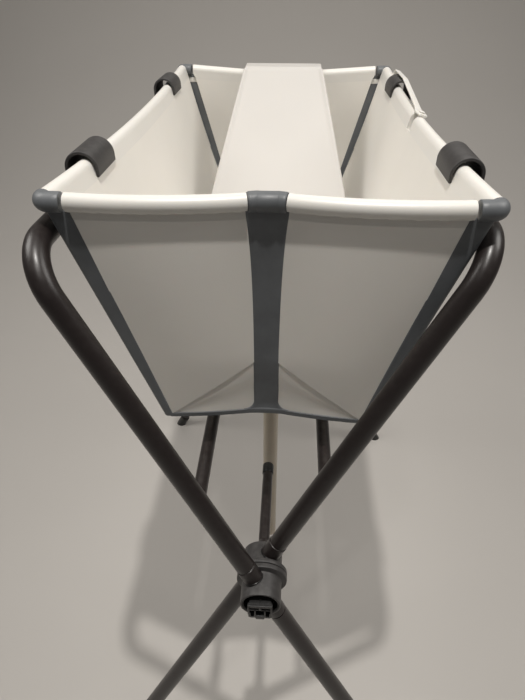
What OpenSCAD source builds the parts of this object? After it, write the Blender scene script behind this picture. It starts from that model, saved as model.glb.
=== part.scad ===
// Folding baby bath on a crossed-leg stand, with a newborn support.
// Millimetres, +Z up, floor at z = 0, origin under the middle of the bath.
// The bath is long along Y; frame A carries the rim at -X, frame B the one at +X.

/* [Bath] */
// Distance between the two end rims, centre to centre
bath_l = 664; // [640:1:690]
// Distance from the middle to the side rims at the corners
rim_half = 187; // [180:0.5:195]
// Height of the rim roll's centre
rim_z = 1083; // [1068:1:1098]
// Radius of the rim roll
rim_r = 8; // [7:0.1:9]
// How far the side rims dip at mid-length
rim_dip = 10; // [4:0.5:14]
// Wall thickness of the moulded panels
wall_t = 2.5; // [2:0.1:3.2]
// Half the width of the tub at its floor
floor_half = 110; // [100:1:120]
// Height of the tub floor's underside
floor_z = 844; // [832:1:856]
// How far the middle of an end wall stands in
end_in = 16; // [12:0.5:20]
// Outward bulge of each half of an end wall
end_bulge = 5; // [2:0.5:6]
// Half the width of the soft centre strip at the rim
strip_half = 18; // [14:0.5:20]

/* [Stand] */
// Outer radius of the stand's tubes
tube_r = 11; // [10:0.1:12.5]
// Wall thickness of the tubes
tube_wall = 1.2; // [1:0.1:2]
// Height of the pivot axis
hub_z = 652; // [635:1:670]
// Distance from the middle to the face between the two hub halves
hub_y = 404; // [395:0.5:415]
// Distance of each frame's tube plane from that face
plane_gap = 16; // [15:0.5:20]
// Distance from the middle to the rails under the rims
rail_x = 192.5; // [188:0.5:198]
// How far the rails lie under the rims' corners
rail_drop = 29; // [24:0.5:40]
// Centre-line radius of the tube bends
bend_r = 46; // [36:1:60]
// Lean of the tubes along the bath, per unit of length
lean = 0.1; // [0:0.01:0.14]
// Distance from the middle to the feet
foot_x = 320; // [300:1:340]
// Radius of the cross bars
bar_r = 7.75; // [6:0.05:9]
// Distance of the cross bars from the pivot, along the arms
bar_s = 150.6; // [130:0.1:180]

/* [Hub] */
// Outer radius of the hub barrels
barrel_r = 23.5; // [20:0.1:28]
// Radius of the two facing flanges
flange_r = 30; // [26:0.1:34]
// Outer radius of the tube sockets
socket_r = 13; // [12:0.1:15]
// Radius of the axle
axle_r = 8; // [6:0.1:10]
// Length of the stub rod behind the front hub
rod_l = 138; // [100:1:180]
// Travel of the release button
press = 5.5; // [3:0.5:7]

/* [Hooks and strap] */
// Distance of the hooks from mid-length
hook_y = 200; // [170:1:230]
// Length of a hook along the rim
hook_l = 58; // [45:1:70]
// Inner radius of a hook's arch
hook_r = 13.5; // [12.5:0.1:15]
// Thickness of a hook
hook_t = 3.5; // [3:0.1:4.5]
// Width of the folding strap
strap_w = 13; // [10:0.5:16]

/* [Newborn support] */
// Half the width of the support over the rear rim
sup_top = 68; // [60:1:76]
// Half the width of the support where it is widest
sup_wide = 104; // [90:1:106]
// Length of the sloping panel
sup_l = 446; // [420:1:450]
// Slope of the panel, degrees
sup_a = 31.3; // [28:0.1:34]

/* [Drain] */
// Position of the drain along the bath
drain_y = -150; // [-170:1:-120]
// Radius of the drain flange
drain_r = 20; // [18:0.5:21]
// Height of the hose's lower end
hose_end = 370; // [340:5:420]

/* [Hidden] */
$fn = 96;
rail_z = rim_z-rail_drop;
end_y = bath_l/2;
slope = (rim_half-floor_half)/(rim_z-floor_z);
tilt = atan(slope);
side_h = (rim_z-floor_z)/cos(tilt);
dip_r = (end_y*end_y+rim_dip*rim_dip)/(2*rim_dip);
roll_end = end_y-10.2;
dip_a = asin(roll_end/dip_r);
// end wall halves: arc through (-px,-end_y) and (-strip_half, end_in further in)
px = rim_half-17;
pb = floor_half-6.5;
ch_x = px-strip_half;
ch_l = norm([ch_x, end_in]);
end_r = (ch_l*ch_l/4+end_bulge*end_bulge)/(2*end_bulge);
end_cx = -(px+strip_half)/2-(end_r-end_bulge)*end_in/ch_l;
end_cy = -end_y+end_in/2+(end_r-end_bulge)*ch_x/ch_l;
end_a0 = atan2(-end_y-end_cy, -px-end_cx);
end_a1 = atan2(-end_y+end_in-end_cy, -strip_half-end_cx);
roll_a0 = end_a0+asin(5/end_r);
roll_a1 = end_a1-asin((rim_r+0.3)/end_r);
vee_z = floor_z+72;
strip_b = 10.6;
// stand
arm_a = atan(rail_x/(rail_z-hub_z));
arm_s = norm([rail_x, rail_z-hub_z]);
leg_a = -(180-atan(foot_x/hub_z));
leg_s = norm([foot_x, hub_z]);
lean_a = atan(lean);
turn = 90-lean_a;
tan_l = bend_r*tan(turn/2);
yf = -hub_y-plane_gap;
yr = hub_y-plane_gap;
corner_f = yf+lean*arm_s;
corner_r = yr-lean*arm_s;
seat = 44;
spigot_l = 70;
leg_cut = leg_s/cos(lean_a)-11;
half_gap = 0.2;
hook_x = -rail_x+3.5;
out_y = hub_y+36;
in_y = hub_y-32;
floor_in = 41;
floor_out = floor_half-2.6;

steel = [0.24, 0.21, 0.21];
white = [0.90, 0.87, 0.83];
rimwhite = [0.94, 0.93, 0.91];
soft = [0.37, 0.38, 0.40];
dark = [0.28, 0.28, 0.29];
black = [0.06, 0.06, 0.06];
beige = [0.58, 0.55, 0.47];

// ---- helpers ----
module turned() rotate([0, 0, 180]) children();

module y_cyl(y0, y1, r) translate([0, y0, hub_z]) rotate([-90, 0, 0]) cylinder(r = r, h = y1-y0);

// plane of a frame: local x runs along the bath, local y away from the pivot
module arm_plane(a) translate([0, 0, hub_z]) rotate([0, -a, 0]) rotate([90, 0, 90]) children();

// axis of a leaning tube: local z runs away from the pivot
module along(y0, s) translate([y0, 0, 0]) rotate([0, 0, -s*lean_a]) rotate([-90, 0, 0]) children();

module ring2() difference() {
  circle(r = tube_r);
  circle(r = tube_r-tube_wall);
}

module pipe(s0, s1) translate([0, 0, s0]) linear_extrude(s1-s0) ring2();

// plane of the left side wall: local y along the bath, local z up the slope
module side_plane() translate([-floor_half, 0, floor_z]) rotate([0, -tilt, 0]) children();

// ---- stand frames ----
module bent_rod(r, s0) {
  along(yf, 1) translate([0, 0, s0]) cylinder(r = r, h = arm_s/cos(lean_a)-tan_l-s0);
  along(yr, -1) translate([0, 0, s0]) cylinder(r = r, h = arm_s/cos(lean_a)-tan_l-s0);
  translate([corner_f+tan_l, arm_s-bend_r, 0])
    rotate([0, 0, 88.4]) rotate_extrude(angle = turn+3.2) translate([bend_r, 0]) circle(r = r-0.06);
  translate([corner_r-tan_l, arm_s-bend_r, 0])
    rotate([0, 0, 88.4-turn]) rotate_extrude(angle = turn+3.2) translate([bend_r, 0]) circle(r = r-0.06);
  translate([corner_f+tan_l, arm_s, 0]) rotate([0, 90, 0]) cylinder(r = r, h = corner_r-corner_f-2*tan_l);
}

module upper_tube() color(steel) arm_plane(arm_a) difference() {
  bent_rod(tube_r, seat);
  bent_rod(tube_r-tube_wall, seat-1);
}

module leg(y0, s) color(steel) arm_plane(leg_a) along(y0, s) pipe(seat, leg_cut);

module foot(y0, s) color(black) difference() {
  arm_plane(leg_a) along(y0, s) difference() {
    translate([0, 0, leg_cut-28]) cylinder(r = tube_r+2.4, h = 60);
    translate([0, 0, leg_cut-30]) cylinder(r = tube_r+0.05, h = 30.3);
  }
  translate([0, 0, -60]) cube([1000, 1200, 120], center = true);
}

module cross_bar() color(steel) arm_plane(arm_a) difference() {
  translate([yf+lean*bar_s, bar_s, -3]) rotate([0, 90, 0])
    cylinder(r = bar_r, h = yr-yf-2*lean*bar_s);
  translate([yf+lean*bar_s-5, bar_s, -3]) rotate([0, 90, 0])
    cylinder(r = bar_r-tube_wall, h = yr-yf-2*lean*bar_s+10);
  along(yf, 1) cylinder(r = tube_r+0.12, h = arm_s);
  along(yr, -1) cylinder(r = tube_r+0.12, h = arm_s);
}

// one moulded tube socket: barrel of the socket, thin neck, spigot inside the tube
module socket(y0, s) along(y0, s) {
  cylinder(r = socket_r, h = 38);
  cylinder(r = 10.4, h = seat-0.15);
  cylinder(r = tube_r-tube_wall-0.1, h = spigot_l);
}

// hub half on the outside of the stand, with an open barrel
module hub_outer() color(dark) difference() {
  union() {
    y_cyl(-out_y, -hub_y-half_gap, barrel_r);
    y_cyl(-hub_y-6.2, -hub_y-half_gap, flange_r);
    arm_plane(arm_a) socket(yf, 1);
    arm_plane(leg_a) socket(yf, -1);
  }
  y_cyl(-out_y-1, -hub_y-15, barrel_r-2.5);
  y_cyl(-hub_y-16, -hub_y, axle_r+0.05);
}

// hub half on the inside of the stand
module hub_inner() color(dark) difference() {
  union() {
    y_cyl(in_y, hub_y-half_gap, barrel_r);
    y_cyl(hub_y-6.2, hub_y-half_gap, flange_r);
    arm_plane(arm_a) socket(yr, -1);
    arm_plane(leg_a) socket(yr, 1);
  }
  y_cyl(in_y-1, hub_y, axle_r+0.05);
}

// ---- core on the pivot axis ----
module axle() {
  y_cyl(-hub_y-17.2, -hub_y-15.1, axle_r+3);
  y_cyl(-hub_y-16, -in_y+6, axle_r);
}

module collar() difference() {
  y_cyl(-in_y+0.3, -in_y+12, 10.5);
  y_cyl(-in_y, -in_y+6.1, axle_r+0.02);
}

module stub_rod() color(steel) {
  collar();
  y_cyl(-in_y+12, -in_y+rod_l-1, 7);
}

module stub_cap() color(black) difference() {
  y_cyl(-in_y+rod_l-16, -in_y+rod_l+1, 8);
  y_cyl(-in_y+rod_l-17, -in_y+rod_l-0.9, 7.03);
}

// ---- release button and hub cap ----
module button_face() intersection() {
  translate([-14, -15]) square([28, 30]);
  union() {
    translate([-14, 0]) square([28, 15]);
    circle(r = 19);
  }
}

module release_button() color(black)
  translate([0, -hub_y-23, hub_z]) rotate([90, 0, 0]) difference() {
    linear_extrude(22) button_face();
    translate([-11.6, -10.5, 6]) cube([10, 22.8, 17]);
    translate([1.6, -10.5, 6]) cube([10, 22.8, 17]);
    translate([-2, -10.5, 12]) cube([4, 8, 11]);
    translate([-2, 4.3, 12]) cube([4, 8, 11]);
  }

module hub_cap() color(dark) {
  y_cyl(out_y-8, out_y+1.5, barrel_r-2.6);
  y_cyl(out_y+0.2, out_y+3, barrel_r-1);
}

// ---- hooks, in the XZ plane ----
module hook_shape() difference() {
  union() {
    translate([hook_x, rim_z-6]) difference() {
      circle(r = hook_r+hook_t);
      circle(r = hook_r);
      translate([-30, -60]) square([60, 60]);
    }
    translate([hook_x+hook_r, rim_z-6]) polygon([[0, 0], [0, -5], [hook_t, -8], [hook_t, 0]]);
    translate([hook_x-hook_r-hook_t, rail_z]) square([hook_t, rim_z-6-rail_z]);
    translate([-rail_x, rail_z]) circle(r = tube_r+4.2);
  }
  translate([-rail_x, rail_z]) circle(r = tube_r+0.1);
  // the snap ring is open towards the side wall
  translate([-rail_x, rail_z]) rotate([0, 0, tilt]) translate([tube_r-1.5, -20]) square([9, 31]);
}

module hook(y) color(dark) translate([0, y+hook_l/2, 0]) rotate([90, 0, 0]) linear_extrude(hook_l) hook_shape();

// ---- side panels ----
module side_panel() color(white) side_plane() {
  difference() {
    translate([-wall_t/2, -end_y+3, 0]) cube([wall_t, bath_l-6, side_h]);
    translate([0, 0, side_h-rim_dip+dip_r]) rotate([0, 90, 0])
      cylinder(r = dip_r, h = 20, center = true, $fn = 720);
    translate([-5, -end_y, side_h-9.8]) cube([10, end_y-roll_end+0.2, 20]);
    translate([-5, roll_end-0.2, side_h-9.8]) cube([10, end_y-roll_end+1, 20]);
  }
  // rim roll, a shallow arc
  translate([0, 0, side_h-rim_dip+dip_r]) rotate([0, 90, 0]) rotate([0, 0, -dip_a])
    rotate_extrude(angle = 2*dip_a, $fn = 720) translate([dip_r, 0]) circle(r = rim_r);
}

// the side with the folding strap has a gap in its roll and a boss for the pin
module side_panel_clasp() color(white) {
  difference() {
    turned() side_panel();
    turned() side_plane() translate([-rim_r-1, -10, side_h-rim_dip-7.5]) cube([2*rim_r+2, 20, 20]);
    turned() side_plane() translate([0, 0, side_h-rim_dip-8.9]) cylinder(r = 2.45, h = 10.5);
  }
  turned() side_plane() difference() {
    translate([0, 0, side_h-rim_dip-10]) cylinder(r = 4.8, h = 7.5);
    translate([0, 0, side_h-rim_dip-8.9]) cylinder(r = 2.45, h = 10.5);
  }
}

module clasp_pin() color(dark) turned() side_plane() translate([0, 0, side_h-rim_dip-8.7]) {
  cylinder(r = 2.4, h = 20.9);
  translate([0, 0, 20.2]) cylinder(r = 4.2, h = 1.6);
}

module clasp_strap() color(rimwhite) turned() side_plane() {
  translate([0, 0, side_h-1.4]) difference() {
    union() {
      translate([0, 8.5, 0]) cylinder(r = strap_w/2, h = 2.6);
      translate([-strap_w/2, -10.5, 0]) cube([strap_w, 19, 2.6]);
    }
    translate([0, 0, -1]) cylinder(r = 2.5, h = 5);
  }
  translate([strap_w/2, 0, side_h]) rotate([0, -90, 0]) linear_extrude(strap_w) {
    polygon([[-1.4, -10], [1.2, -10], [16.2, -168], [16.2, -238], [13.6, -238], [13.6, -168]]);
    translate([6.9, -238]) difference() {
      circle(r = 9.3);
      circle(r = 6.7);
      translate([-12, 0.3]) square([24, 12]);
      translate([-13, -20]) square([10, 40]);
    }
  }
}

// ---- end walls: left half at the front ----
module end_half() color(white) {
  intersection() {
    translate([end_cx, end_cy, floor_z]) difference() {
      cylinder(r = end_r+wall_t/2, h = rim_z-floor_z, $fn = 720);
      translate([0, 0, -1]) cylinder(r = end_r-wall_t/2, h = rim_z-floor_z+2, $fn = 720);
    }
    translate([0, -end_y+40, 0]) rotate([90, 0, 0]) linear_extrude(60) polygon([
      [-pb, floor_z+0.4], [-px+4, rim_z], [-strip_half, rim_z], [-strip_b-1.1, vee_z]]);
  }
  translate([end_cx, end_cy, rim_z]) rotate([0, 0, roll_a0])
    rotate_extrude(angle = roll_a1-roll_a0, $fn = 720) translate([end_r, 0]) circle(r = rim_r);
  translate([end_cx+end_r*cos(roll_a1), end_cy+end_r*sin(roll_a1), rim_z]) sphere(r = rim_r-0.02);
}

// thin soft triangle under the fold line of an end wall half
module gusset() color(soft) intersection() {
  translate([end_cx, end_cy, floor_z]) difference() {
    cylinder(r = end_r+0.8, h = 90, $fn = 720);
    translate([0, 0, -1]) cylinder(r = end_r-0.8, h = 92, $fn = 720);
  }
  translate([0, -end_y+40, 0]) rotate([90, 0, 0]) linear_extrude(60) polygon([
    [-pb+2, floor_z+0.3], [-strip_b-1.3, vee_z-0.9], [-strip_b-0.2, floor_z+0.3]]);
}

// soft corner strip with the sleeve that joins the two rims
module corner() color(soft) {
  translate([0, -end_y+wall_t/2, 0]) rotate([90, 0, 0]) linear_extrude(wall_t) polygon([
    [-floor_half-1.2, floor_z], [-pb-0.3, floor_z], [-px+4-0.6, rim_z-8], [-rim_half+1, rim_z-8]]);
  side_plane() translate([-wall_t/2, -end_y-wall_t/2, 0]) cube([wall_t, wall_t/2+2.8, side_h-9.8]);
  translate([-rim_half, -end_y, rim_z]) {
    sphere(r = rim_r+1.2);
    rotate([0, 90, 0]) cylinder(r = rim_r+1.2, h = rim_half-px+3.9);
    rotate([-90, 0, 0]) cylinder(r = rim_r+1.2, h = end_y-roll_end-0.9);
  }
}

// outer line of an end wall's foot, seen from above
function foot_y(x) = min(-end_y+end_in-1.6, end_cy-sqrt(pow(end_r+0.8, 2)-pow(abs(x)+end_cx, 2)));

// soft centre strip with its sleeve and the band along the bottom edge
module centre() color(soft) {
  translate([0, -end_y+end_in+wall_t/2, 0]) rotate([90, 0, 0]) linear_extrude(wall_t) polygon([
    [-strip_b, floor_z-1], [strip_b, floor_z-1], [strip_b+0.8, vee_z], [strip_half-0.3, rim_z-4],
    [-strip_half+0.3, rim_z-4], [-strip_b-0.8, vee_z]]);
  translate([0, -end_y+end_in, rim_z]) difference() {
    translate([-20, 0, 0]) rotate([0, 90, 0]) cylinder(r = rim_r+1.2, h = 40);
    translate([-21, 0, 0]) rotate([0, 90, 0]) cylinder(r = rim_r+0.3, h = 3.4);
    translate([17.6, 0, 0]) rotate([0, 90, 0]) cylinder(r = rim_r+0.3, h = 3.4);
    // slots for the walls under the sleeve
    translate([-21, -2, -12]) cube([3.4, 4, 12]);
    translate([17.6, -2, -12]) cube([3.4, 4, 12]);
  }
  translate([0, 0, floor_z-2]) linear_extrude(2.1) polygon(concat(
    [for (k = [-5:5]) [k*(pb-2)/5, foot_y(k*(pb-2)/5)]], [[pb-2, -end_y+19.6], [-pb+2, -end_y+19.6]]));
}

// ---- floor ----
module floor_half_a() color(white) translate([-floor_out, -end_y+20, floor_z-0.4])
  cube([floor_out-floor_in, bath_l-40, wall_t]);

module floor_strip() color(soft) difference() {
  union() {
    translate([-floor_in+0.2, -end_y+20, floor_z-0.4]) cube([2*floor_in-0.4, bath_l-40, 2]);
    for (x = [-24, 24]) translate([x-1.5, -end_y+27, floor_z-1.6]) cube([3, bath_l-54, 2]);
  }
  translate([0, drain_y, floor_z-5]) cylinder(r = 15.2, h = 12);
}

// ---- drain and hose ----
module drain_fitting() color(dark) translate([0, drain_y, 0]) difference() {
  union() {
    translate([0, 0, floor_z+1.8]) cylinder(r = drain_r, h = 2);
    translate([0, 0, floor_z-22]) cylinder(r = 15, h = 24);
    translate([0, 0, floor_z-48]) cylinder(r = 9.4, h = 30);
  }
  translate([0, 0, floor_z-20]) cylinder(r = 12.6, h = 30);
  translate([0, 0, floor_z-50]) cylinder(r = 7.5, h = 40);
}

module drain_nut() color(dark) translate([0, drain_y, 0]) difference() {
  translate([0, 0, floor_z-8]) cylinder(r = drain_r, h = 6);
  translate([0, 0, floor_z-9]) cylinder(r = 15.05, h = 9);
}

module drain_plug() color(soft) translate([0, drain_y, 0]) difference() {
  union() {
    translate([0, 0, floor_z-12]) cylinder(r = 12.4, h = 15);
    translate([0, 0, floor_z+4]) cylinder(r = 15.5, h = 2.2);
    translate([0, 0, floor_z+2]) cylinder(r = 11, h = 3);
    translate([-1.5, -8, floor_z+6]) cube([3, 16, 7]);
  }
  translate([0, 0, floor_z-13]) cylinder(r = 10, h = 12);
}

module hose_cuff() color(dark) translate([0, drain_y, 0]) difference() {
  translate([0, 0, floor_z-52]) cylinder(r = 13.4, h = 26);
  translate([0, 0, floor_z-53]) cylinder(r = 12.15, h = 20);
  translate([0, 0, floor_z-54]) cylinder(r = 9.5, h = 30);
}

module hose() color(beige) translate([0, drain_y, 0]) difference() {
  translate([0, 0, hose_end]) cylinder(r = 12, h = floor_z-34-hose_end, $fn = 48);
  translate([0, 0, hose_end-1]) cylinder(r = 10.2, h = floor_z-30-hose_end, $fn = 48);
}

// ---- newborn support ----
module sup_outline(in, top) {
  polygon([[-sup_top+in, top], [sup_top-in, top], [sup_wide-in, 280], [sup_wide-in, sup_l-46],
    [-sup_wide+in, sup_l-46], [-sup_wide+in, 280]]);
  translate([-sup_wide+46, sup_l-60]) square([2*sup_wide-92, 60-in]);
  for (s = [-1, 1]) translate([s*(sup_wide-46), sup_l-46]) circle(r = 46-in);
}

module newborn_support() color(rimwhite) {
  translate([0, end_y-26, rim_z+10.2]) rotate([180+sup_a, 0, 0]) difference() {
    translate([0, 0, -6]) linear_extrude(6) sup_outline(0, 0);
    translate([0, 0, -8]) linear_extrude(5) sup_outline(4.5, -12);
  }
  translate([-sup_top+1, end_y-29, rim_z+10]) cube([2*sup_top-2, 45, 3]);
  translate([-sup_top+1, end_y+13, rim_z+1]) cube([2*sup_top-2, 3, 10.5]);
}

color(dark) axle();  // axle_front
color(dark) turned() axle();  // axle_rear
color(dark) turned() collar();  // collar_rear
stub_rod();
stub_cap();
upper_tube();  // upper_tube_a
leg(yf, -1);  // leg_front_a
leg(yr, 1);  // leg_rear_a
foot(yf, -1);  // foot_front_a
foot(yr, 1);  // foot_rear_a
cross_bar();  // cross_bar_a
hub_outer();  // hub_outer_a
hub_inner();  // hub_inner_a
hook(-hook_y);  // hook_front_a
hook(hook_y);  // hook_rear_a
side_panel();  // side_panel_a
release_button();
turned() upper_tube();  // upper_tube_b
turned() leg(yr, 1);  // leg_front_b
turned() leg(yf, -1);  // leg_rear_b
turned() foot(yr, 1);  // foot_front_b
turned() foot(yf, -1);  // foot_rear_b
turned() cross_bar();  // cross_bar_b
turned() hub_outer();  // hub_outer_b
turned() hub_inner();  // hub_inner_b
turned() hook(hook_y);  // hook_front_b
turned() hook(-hook_y);  // hook_rear_b
side_panel_clasp();  // side_panel_b
hub_cap();
clasp_pin();
clasp_strap();
end_half();  // end_front_a
mirror([1, 0, 0]) end_half();  // end_front_b
mirror([0, 1, 0]) end_half();  // end_rear_a
turned() end_half();  // end_rear_b
gusset();  // gusset_front_a
mirror([1, 0, 0]) gusset();  // gusset_front_b
mirror([0, 1, 0]) gusset();  // gusset_rear_a
turned() gusset();  // gusset_rear_b
corner();  // corner_front_a
mirror([1, 0, 0]) corner();  // corner_front_b
mirror([0, 1, 0]) corner();  // corner_rear_a
turned() corner();  // corner_rear_b
centre();  // centre_front
turned() centre();  // centre_rear
floor_half_a();  // floor_a
turned() floor_half_a();  // floor_b
floor_strip();
drain_fitting();
drain_nut();
drain_plug();
hose_cuff();
hose();
newborn_support();
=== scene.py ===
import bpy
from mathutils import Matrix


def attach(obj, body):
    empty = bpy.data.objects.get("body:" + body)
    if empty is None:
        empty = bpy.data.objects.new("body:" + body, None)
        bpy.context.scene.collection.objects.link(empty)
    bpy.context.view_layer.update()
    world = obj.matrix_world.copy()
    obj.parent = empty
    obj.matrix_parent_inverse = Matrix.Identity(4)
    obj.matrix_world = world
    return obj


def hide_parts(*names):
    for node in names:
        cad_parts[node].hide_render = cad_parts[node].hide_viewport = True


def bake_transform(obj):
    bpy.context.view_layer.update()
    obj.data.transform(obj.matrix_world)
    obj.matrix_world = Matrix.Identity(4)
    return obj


bl_info = {
    "name": "Folding Baby Bath and Stand",
    "version": (1, 0, 0),
    "blender": (4, 5, 0),
    "location": "View3D > Sidebar > Bath Stand",
    "description": "Makes a folding baby bath on its crossed-leg stand, piece by piece",
    "category": "Object",
}

import math

import bmesh
import bpy
import numpy as np

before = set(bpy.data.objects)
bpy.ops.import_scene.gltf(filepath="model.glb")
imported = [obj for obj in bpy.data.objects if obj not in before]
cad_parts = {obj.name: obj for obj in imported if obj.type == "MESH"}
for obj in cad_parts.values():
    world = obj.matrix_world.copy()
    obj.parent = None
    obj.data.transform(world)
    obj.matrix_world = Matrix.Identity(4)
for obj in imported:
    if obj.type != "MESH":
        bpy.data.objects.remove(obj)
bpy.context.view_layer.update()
MM = 0.001

# ---- sizes of the object, in millimetres, as in the solids ----
# rim: half its width, its height, the roll's radius, and the dip of the side rims
RIM_HALF, RIM_Z, RIM_R, RIM_DIP = 187.0, 1083.0, 8.0, 10.0
# end walls: distance from the middle, how far the centre strips stand in, bulge of each half
END_Y, END_IN, END_BULGE = 332.0, 16.0, 5.0
# floor: half its width, its height, and the height of the fold lines at the centre strips
FLOOR_HALF, FLOOR_Z, VEE_Z = 110.0, 844.0, 916.0
# hubs: height, distance from the middle, and how far frame A's tubes stand in front of that, frame B's behind
HUB_Z, HUB_Y, PLANE_GAP = 652.0, 404.0, 16.0
# tubes: place of the rail, radius, radius of the bends, lean along the bath, and place of the feet
RAIL_X, RAIL_Z, TUBE_R, BEND_R, LEAN, FOOT_X = 192.5, 1054.0, 11.0, 46.0, 0.1, 320.0
# where a tube starts, counted from the hub's axis
TUBE_START = 44.0
# place of the drain along the bath, and the heights between which the hose hangs
DRAIN_Y, HOSE_TOP, HOSE_END = -150.0, 810.0, 370.0

# ---- sizes that follow from those ----
TILT = math.atan((RIM_HALF - FLOOR_HALF) / (RIM_Z - FLOOR_Z))
SIDE_H = (RIM_Z - FLOOR_Z) / math.cos(TILT)
FRONT_Y, REAR_Y = -HUB_Y - PLANE_GAP, HUB_Y - PLANE_GAP
ARM_S, LEG_S = math.hypot(RAIL_X, RAIL_Z - HUB_Z), math.hypot(FOOT_X, HUB_Z)
ARM = np.array([-RAIL_X, RAIL_Z - HUB_Z]) / ARM_S
LEG = np.array([FOOT_X, -HUB_Z]) / LEG_S

# ---- forms that only the photographed surface has ----
WALL_HALF = 1.25   # half a wall's thickness at its plain middle
BOW = 1.6          # how far the walls bow outwards
CURL = 14.0        # depth under the roll's centre at which the rim's section starts
EASE = 150.0       # depth over which an inner face eases out to the roll
WALL_FOOT = FLOOR_Z + 0.4                 # lower edge of the end walls
CORNER_LOW, CORNER_FLARE = 103.5, 62.5    # an end wall's slanted edge: x at its foot, and what it gains
STRIP_LOW, STRIP_FLARE = 11.4, 6.5        # half width of the centre strips, and what it gains at the rim
SAG = {1: 3.2, -1: 7.0}                   # how far the middle of the front and of the rear rim sags
SAG_FROM = FLOOR_Z + 60                   # height above which it shows


# ---- meshes from arrays ----

def unit(v):
    """Vectors divided by their own lengths."""
    v = np.asarray(v, float)
    return v / np.maximum(np.linalg.norm(v, axis=-1, keepdims=True), 1e-12)


def circle(n):
    """n angles evenly round a circle."""
    return np.linspace(0, 2 * np.pi, n, endpoint=False)


def ramp(x, a, b):
    """0 at a, 1 at b, straight between them and level beyond; b may be the smaller one."""
    return np.clip((x - a) / (b - a), 0, 1)


def points(x, y, z):
    """Coordinates of shapes that fit each other, joined to points."""
    return np.stack(np.broadcast_arrays(x, y, z), axis=-1)


def grid_faces(nu, nk, closed):
    """Quads of a grid of nu rows and nk columns, the columns joined round where closed."""
    i, k = np.meshgrid(np.arange(nu - 1), np.arange(nk if closed else nk - 1), indexing="ij")
    k2 = (k + 1) % nk
    quads = np.stack([i * nk + k, i * nk + k2, (i + 1) * nk + k2, (i + 1) * nk + k], axis=-1)
    return quads.reshape(-1, 4).tolist()


def loft(rows):
    """Rows of closed cross-sections, shape (rows, points, 3), skinned with quads and closed at both ends."""
    nu, nk = rows.shape[:2]
    ends = [list(range(nk))[::-1], [(nu - 1) * nk + j for j in range(nk)]]
    return rows.reshape(-1, 3), grid_faces(nu, nk, True) + ends


def ring_loft(rows):
    """Rows of closed cross-sections carried once round, so the last row joins the first."""
    nu, nk = rows.shape[:2]
    faces = np.array(grid_faces(nu + 1, nk, True)) % (nu * nk)
    return rows.reshape(-1, 3), faces.tolist()


def put(name, parts, material, body, node=None, flip=(1, 1), sharp=34.0):
    """One piece from closed shells in millimetres, mirrored in X and Y by flip, its normals turned outwards.
    It rides on its body, if it is given one, and is shown instead of the node, if there is one."""
    verts, faces, base = [], [], 0
    for v, f in parts:
        verts.append(v)
        faces += [[j + base for j in face] for face in f]
        base += len(v)
    mesh = bpy.data.meshes.new(name)
    mesh.from_pydata((np.concatenate(verts) * (flip[0] * MM, flip[1] * MM, MM)).tolist(), [], faces)
    work = bmesh.new()
    work.from_mesh(mesh)
    bmesh.ops.remove_doubles(work, verts=work.verts, dist=2e-6)
    bmesh.ops.recalc_face_normals(work, faces=work.faces)
    work.to_mesh(mesh)
    work.free()
    mesh.polygons.foreach_set("use_smooth", np.ones(len(mesh.polygons), bool))
    mesh.set_sharp_from_angle(angle=math.radians(sharp))
    mesh.materials.append(material)
    piece = bpy.data.objects.new(name, mesh)
    bpy.context.scene.collection.objects.link(piece)
    if body:
        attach(piece, body)
    if node:
        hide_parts(node)
    return piece


def sweep(path, radius, across, n=36):
    """A round rod: circles carried along a flat path; across is the normal of the path's plane."""
    across = unit(across)
    side = unit(np.cross(np.gradient(path, axis=0), across))
    turn = circle(n)
    radius = np.broadcast_to(radius, len(path))[:, None, None]
    ring = side[:, None] * np.cos(turn)[:, None] + across * np.sin(turn)[:, None]
    return loft(path[:, None] + radius * ring)


def softened(profile, r, n=5):
    """A closed profile with each corner swapped for a short curve that starts and ends r from it."""
    p = np.asarray(profile, float)
    before, after = np.roll(p, 1, 0) - p, np.roll(p, -1, 0) - p
    lb, la = np.linalg.norm(before, axis=1), np.linalg.norm(after, axis=1)
    reach = np.minimum(np.minimum(lb, la) * 0.45, r)[:, None]
    a, b = p + unit(before) * reach, p + unit(after) * reach
    t = np.linspace(0, 1, n)[:, None]
    return (a[:, None] * (1 - t) ** 2 + 2 * p[:, None] * t * (1 - t) + b[:, None] * t ** 2).reshape(-1, 2)


def lathe(profile, r, origin, axis, n=64):
    """A closed profile of points (radius, distance along the axis), softened by r and turned about the axis."""
    profile = softened(profile, r)
    axis = unit(axis)
    side = unit(np.cross((0, 0, 1) if abs(axis[2]) < 0.9 else (1, 0, 0), axis))
    up = np.cross(axis, side)
    turn = circle(n)
    out = side * np.cos(turn)[:, None] + up * np.sin(turn)[:, None]
    return ring_loft(out[:, None] * profile[:, :1] + axis * profile[:, 1:] + np.array(origin))


def hub_lathe(profile, r, y=0.0, n=64):
    """The same about the hubs' axis, with distances counted from y."""
    return lathe(profile, r, (0, y, HUB_Z), (0, 1, 0), n)


def slab(surface, up, down=None, n=5):
    """A sheet with thickness: the grid moved up and down its normals, with half-round edges at both sides."""
    du, dv = np.gradient(surface, axis=0), np.gradient(surface, axis=1)
    normal, along = unit(np.cross(du, dv)), unit(dv)
    down = up if down is None else down
    up, down = (np.broadcast_to(side, surface.shape[:2])[..., None] for side in (up, down))
    top, low = surface + normal * up, surface - normal * down
    turn = np.linspace(0, np.pi, n + 2)[1:-1][:, None]

    def edge(col, sign):
        """The half-round edge of one column, outwards along the surface."""
        middle, half = ((top + low) / 2)[:, col, None], ((up + down) / 2)[:, col, None]
        return middle + half * (sign * along[:, col, None] * np.sin(turn) + normal[:, col, None] * np.cos(turn))

    return loft(np.concatenate([top, edge(-1, 1.0), low[:, ::-1], edge(0, -1.0)[:, ::-1]], axis=1))


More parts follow.
